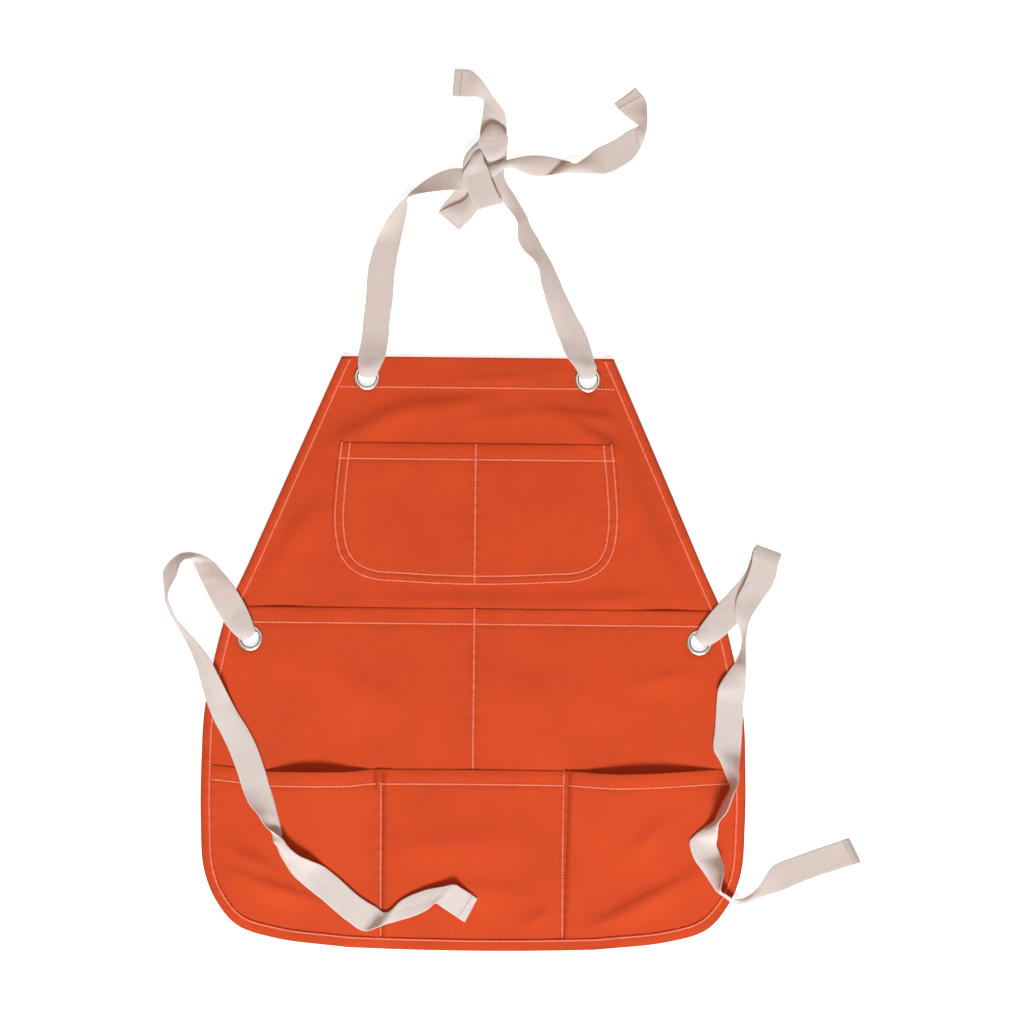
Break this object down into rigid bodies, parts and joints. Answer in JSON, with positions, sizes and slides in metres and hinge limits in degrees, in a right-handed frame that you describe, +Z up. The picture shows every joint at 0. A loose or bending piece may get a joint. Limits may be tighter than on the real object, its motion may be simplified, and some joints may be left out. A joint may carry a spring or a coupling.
{
  "type": "kitchen apron",
  "caption": "Bib apron of orange canvas with stitched chest, waist and lower pockets, bound edges, metal eyelets and cotton tapes that tie at the neck and waist, lying flat.",
  "frame": {"origin": "middle of the laid-out object's box, on the surface it lies on", "axes": "+Z up from the surface to the apron's front, +Y from the skirt to the bib and neck tapes, +X to the right as seen from above"},
  "size_m": [0.6449, 0.8101, 0.0325],
  "materials": {
    "canvas": "plain-woven cotton canvas, matte",
    "cotton_tape": "undyed twill cotton tape, matte",
    "eyelet_metal": "bright nickel plate"
  },
  "bodies": {
    "root": {"body_panel": "canvas", "chest_pocket": "canvas", "waist_panel": "canvas", "lower_pocket": "canvas", "edge_binding": "canvas", "eyelet_neck_left": "eyelet_metal", "eyelet_neck_right": "eyelet_metal", "eyelet_waist_left": "eyelet_metal", "eyelet_waist_right": "eyelet_metal", "neck_tape_left": "cotton_tape", "neck_tape_right": "cotton_tape", "waist_tie_left": "cotton_tape", "waist_tie_right": "cotton_tape"}
  },
  "joints": []
}
